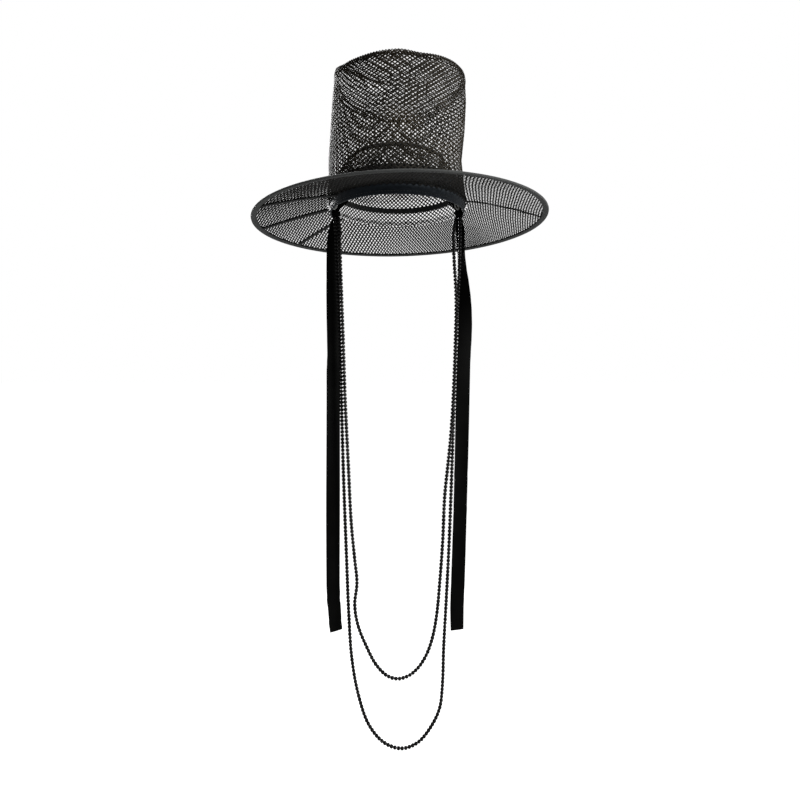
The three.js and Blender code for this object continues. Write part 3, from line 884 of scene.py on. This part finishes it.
def pleat_table():
    """How deep pleats have to be for each share of the width, so that the cloth keeps its size."""
    t = np.linspace(0, 1, 400)
    depths = np.linspace(0, 3.2, 60)
    shares = np.linspace(0.3, 1.0, 30)
    pleats = np.sin(2 * np.pi * RIBBON_PLEATS * t)
    table = []
    for share in shares:
        across = np.diff(t * RIBBON_WIDTH * share)
        lengths = [np.hypot(across, np.diff(depth * pleats)).sum() for depth in depths]
        table.append(np.interp(RIBBON_WIDTH, lengths, depths))
    return shares, np.array(table)


pleat_shares, pleat_depths = pleat_table()


def hanging_ribbon(name, node, knot_height, seed):
    """A ribbon along its CAD node, pleated in the knot and a little curled where it hangs free."""
    path = ribbon_path(node)
    t = np.linspace(-0.5, 0.5, RIBBON_COLUMNS)
    rows = []
    for x, y, z, across_x, across_y, width in path:
        across = np.array([across_x, across_y, 0])
        across /= np.linalg.norm(across)
        through = np.array([-across[1], across[0], 0])
        share = min(max(width / RIBBON_WIDTH, RIBBON_NARROWEST), 1.0)
        depth = np.interp(share, pleat_shares, pleat_depths)
        below = max(knot_height - z, 0)
        free = min(below / RIBBON_FREE, 1)
        soft = 0.55 * math.exp(-below / 45) * math.sin(below / 9 + seed)
        pleats = depth * np.sin(2 * np.pi * RIBBON_PLEATS * (t + 0.5)) * 0.9
        curl = (1.1 * np.sin(below / 61 + seed) + 0.5) * (4 * t * t - 0.33) * free
        wave = 0.7 * np.sin(below / 37 + seed * 2) * t * 2 * free
        face = pleats + soft * np.cos(6 * t) + curl + wave
        selvedge = 1 - 0.45 * np.exp(-((0.5 - abs(t)) / 0.02) ** 2)
        middle = np.array([x, y, z]) + np.outer(t * RIBBON_WIDTH * share, across) + np.outer(face, through)
        offset = np.outer(selvedge * RIBBON_THICKNESS / 2, through)
        rows.append(np.concatenate([middle + offset, (middle - offset)[::-1]]))
    strip = Bundle()
    strip.add(rows)
    made = strip.piece(name, satin, "satin", node)
    node.replace("ribbon", "tie_knot") + "_wraps"


knot_box = {side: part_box("tie_knot_" + side) for side in ("left", "right")}
for side, seed in (("left", 0.4), ("right", 2.1)):
    middle = (knot_box[side][0] + knot_box[side][1]) / 2 / MM
    hanging_ribbon("ribbon_" + side + "_satin", "ribbon_" + side, middle.z, seed)

# Knots. The end of each ribbon is wound round its gathers and tucked through. A small loop of
# narrow pale tape is caught in each knot and stands up out of it: a painted highlight, where light catches
# the knot's folds.
WRAP_TURNS = 3.3
WRAP_STEPS = 90
WRAP_CORD = 2.5
WRAP_SIDES = 10
TUCK_STEPS = 16
LOOP_TAPE = 1.6
LOOP_THICKNESS = 0.5
LOOP_HALF = 1.7                 # of the loop's width
LOOP_STEPS = 28
LOOP_SIDES = 8
LOOPS = {                       # where each starts from the knot's centre, its way, and its length
    "left": ((-2.0, -4.5, 4.0), (0.3, 0, 1), 8.5),
    "right": ((-1.0, -4.5, 4.0), (-0.5, 0, 1), 8.0),
}


def facing_front(line):
    """The way to the front, for each point of a line."""
    return np.tile([0.0, -1.0, 0.0], (len(line), 1))


def knot(side):
    """The turns round a ribbon's gathers, and the one that crosses them in front. Gives the centre."""
    low, high = (np.array(corner) / MM for corner in knot_box[side])
    centre, half = (low + high) / 2, (high - low) / 2
    sign = 1 if side == "right" else -1
    wraps = Bundle()
    share = np.linspace(0, 1, WRAP_STEPS)
    turn = share * WRAP_TURNS * 2 * np.pi + 0.6 * sign
    reach = half[:2] - WRAP_CORD / 2 + 0.25
    swell = 1 + 0.05 * np.sin(turn * 0.7) - 0.10 * abs(2 * share - 1) ** 3
    line = np.stack([
        centre[0] + sign * reach[0] * np.cos(turn) * swell,
        centre[1] + reach[1] * np.sin(turn) * swell,
        centre[2] + (half[2] - WRAP_CORD / 2) * (1 - 2 * share) + 0.35 * np.sin(turn * 1.3),
    ], 1)
    out = line - centre
    out[:, 2] = 0
    wraps.thread(line, out, WRAP_CORD * 1.25, WRAP_CORD * 0.8, WRAP_SIDES)
    over = np.linspace(-1, 1, TUCK_STEPS)
    tuck = np.stack([
        centre[0] + sign * 2.2 * over,
        centre[1] - (half[1] + 0.4) * np.cos(over * 1.1) ** 0.5,
        centre[2] + (half[2] - 0.4) * over,
    ], 1)
    wraps.thread(tuck, facing_front(tuck), WRAP_CORD, WRAP_CORD * 0.5, WRAP_SIDES)
    wraps.piece("tie_knot_" + side + "_wraps", satin, "satin", "tie_knot_" + side)
    return centre


# The loops' pale grey is a painted highlight: light caught on the knots' folds.
knot_highlight_finish = Finish("painted_highlight_loop", Specular_IOR_Level=0.3)
knot_highlight_place = knot_highlight_finish.node("TexCoord", {}, {}, "Object")
knot_highlight_cloud = knot_highlight_finish.noise(knot_highlight_place, 260.0, 3.0)
knot_highlight_finish.show(
    Base_Color=knot_highlight_finish.between(knot_highlight_cloud, (0.07, 0.072, 0.07), (0.22, 0.222, 0.215)),
    Roughness=knot_highlight_cloud * 0.2 + 0.45,
)


def small_loop(side, centre):
    """A loop of narrow tape that stands out of the knot, pale as a painted highlight."""
    start, way, length = LOOPS[side]
    swing = np.linspace(0, 2 * np.pi, LOOP_STEPS)
    way = np.array(way, float) / np.linalg.norm(way)
    beside = np.cross(way, (0, 1, 0))
    line = (centre + np.array(start) + np.outer(length / 2 * (1 - np.cos(swing)), way)
            + np.outer(LOOP_HALF * np.sin(swing) * (1 - 0.3 * np.cos(swing)), beside))
    loop = Bundle()
    loop.thread(line, facing_front(line), LOOP_TAPE, LOOP_THICKNESS, LOOP_SIDES)
    loop.piece("tie_loop_" + side, knot_highlight_finish, "satin")


for side in LOOPS:
    small_loop(side, knot(side))

# Bead strings. Two strings of small black glass beads hang from knot to knot as a chin string,
# one longer than the other. The beads nearly touch on a black polyester thread.
BEAD_PITCH = 4.75
BEAD_DIAMETER = 5.0
BEAD_LENGTH = 0.94              # for each millimetre of the diameter
BEAD_FULLNESS = 0.65            # under 1 makes a bead fuller than a ball
BEAD_HOLE = 0.24                # half the angle that a bead's flat end takes up, in radians
BEAD_SIDES = 12
BEAD_ARC = 7                    # rings of points from end to end
BEAD_TILT = 0.05
BEAD_SPREAD = 0.018             # of the beads' sizes
STRING_THREAD = 0.9
ROUTE_STEP = 1.0
BEAD_ROUTES = {
    "bead_string_long": [
        (-80.9, -4.2, -13.0), (-79.8, -4.2, -32), (-78.6, -4.2, -60), (-76.4, -4.2, -120),
        (-73.6, -4.2, -190), (-72.2, -4.2, -250), (-69.5, -4.2, -350), (-65.8, -4.2, -450),
        (-62.8, -4.2, -525), (-59, -4.2, -582), (-50.5, -4.2, -630), (-36.5, -4.2, -670),
        (-17, -4.2, -692.5), (5, -4.2, -700), (26, -4.2, -692.5), (43, -4.2, -672.5),
        (54.5, -4.2, -648), (58.2, -4.2, -618), (59.8, -4.2, -570), (63.3, -4.2, -505),
        (67, -4.2, -430), (70, -4.2, -350), (72.5, -4.2, -270), (75.2, -4.2, -190),
        (78.2, -4.2, -120), (80.2, -4.2, -75), (81, -4.2, -40), (80.9, -4.2, -13.0),
    ],
    "bead_string_short": [
        (-76.0, -4.2, -13.0), (-74.6, -6.6, -32), (-73.6, -9.3, -60), (-71.5, -9.4, -120),
        (-69, -9.4, -190), (-67, -9.4, -250), (-62.8, -9.4, -335), (-59.3, -9.4, -405),
        (-54.8, -9.4, -453), (-51.8, -9.4, -484), (-54.6, -9.4, -512), (-50.6, -9.4, -538),
        (-39.2, -9.4, -566.5), (-27.2, -9.4, -589), (-13.2, -9.4, -603), (0.8, -9.4, -607),
        (14.5, -9.4, -603), (26.5, -9.4, -593), (36.6, -9.4, -577.5), (44.8, -9.4, -555),
        (50.4, -9.4, -525), (54.6, -9.4, -480), (58.2, -9.4, -430), (60.8, -9.4, -372),
        (64.6, -9.4, -335), (69, -9.4, -290), (72, -9.4, -240), (74, -9.4, -190),
        (75.4, -9.4, -120), (72.6, -9.3, -66), (72.2, -6.6, -36), (76.0, -4.2, -13.0),
    ],
}

bead_finish = Finish("black_glass_bead", Specular_IOR_Level=0.04, Coat_Roughness=0.08, Coat_IOR=1.25)
bead_tint = bead_finish.node("Attribute", {"attribute_name": "shade"}, {}, "Fac")
bead_place = bead_finish.node("TexCoord", {}, {}, "Object")
bead_smear = bead_finish.noise(bead_place, 420.0, 2.0)
bead_finish.show(
    Base_Color=bead_finish.between(bead_tint, (0.0012, 0.0012, 0.0013), (0.004, 0.0038, 0.0036)),
    Roughness=bead_smear * 0.12 + bead_tint * 0.08 + 0.12,
    Coat_Weight=bead_tint * 0.10 + 0.03,
    Normal=bead_finish.raised(bead_smear, 0.00004),
)


def smooth_route(route):
    """The smooth curve through a route's points, read at an even spacing, and its length."""
    route = np.array(route, float)
    route = np.concatenate([[2 * route[0] - route[1]], route, [2 * route[-1] - route[-2]]])
    knots = np.concatenate([[0], np.cumsum(np.linalg.norm(np.diff(route, axis=0), axis=1) ** 0.5)])
    fine = []
    for i in range(1, len(route) - 2):
        t0, t1, t2, t3 = knots[i - 1:i + 3]
        t = np.linspace(t1, t2, 60, endpoint=False)[:, None]
        a1 = (t1 - t) / (t1 - t0) * route[i - 1] + (t - t0) / (t1 - t0) * route[i]
        a2 = (t2 - t) / (t2 - t1) * route[i] + (t - t1) / (t2 - t1) * route[i + 1]
        a3 = (t3 - t) / (t3 - t2) * route[i + 1] + (t - t2) / (t3 - t2) * route[i + 2]
        b1 = (t2 - t) / (t2 - t0) * a1 + (t - t0) / (t2 - t0) * a2
        b2 = (t3 - t) / (t3 - t1) * a2 + (t - t1) / (t3 - t1) * a3
        fine.append((t2 - t) / (t2 - t1) * b1 + (t - t1) / (t2 - t1) * b2)
    fine = np.concatenate([*fine, route[-2:-1]])
    far = lengths_along(fine)
    at = np.linspace(0, far[-1], round(far[-1] / ROUTE_STEP) + 1)
    return read_at(at, far, fine), far[-1]


def bead_string(node, route):
    """The beads along a route, each a little tilted and of its own size, and the thread in them."""
    line, length = smooth_route(route)
    count = round(length / BEAD_PITCH)
    arc = np.linspace(BEAD_HOLE, math.pi - BEAD_HOLE, BEAD_ARC)
    turn = np.arange(BEAD_SIDES) * 2 * np.pi / BEAD_SIDES
    known = np.arange(len(line))
    beads = Bundle()
    for k in range(count):
        here = (k + 0.5) / count * (len(line) - 1)
        behind, centre, ahead = read_at([here - 1.5, here, here + 1.5], known, line)
        way = ahead - behind
        way = way / np.linalg.norm(way) + chance.normal(0, BEAD_TILT, 3)
        way /= np.linalg.norm(way)
        across = np.cross(way, (0, 1, 0))
        across /= np.linalg.norm(across)
        third = np.cross(across, way)
        radius = BEAD_DIAMETER / 2 * (1 + chance.normal(0, BEAD_SPREAD))
        circle = np.outer(np.cos(turn), across) + np.outer(np.sin(turn), third)
        rows = [centre - way * radius * math.cos(angle) * BEAD_LENGTH
                + radius * math.sin(angle) ** BEAD_FULLNESS * circle
                for angle in arc]
        beads.add(rows, shade=chance.random())
    beads.piece(node + "_beads", bead_finish, "bead", node)
    thread = Bundle()
    thread.thread(line[::4], facing_front(line[::4]), STRING_THREAD, STRING_THREAD)
    thread.piece(node + "_thread", stitch_finish, "bead")


for node, route in BEAD_ROUTES.items():
    bead_string(node, route)
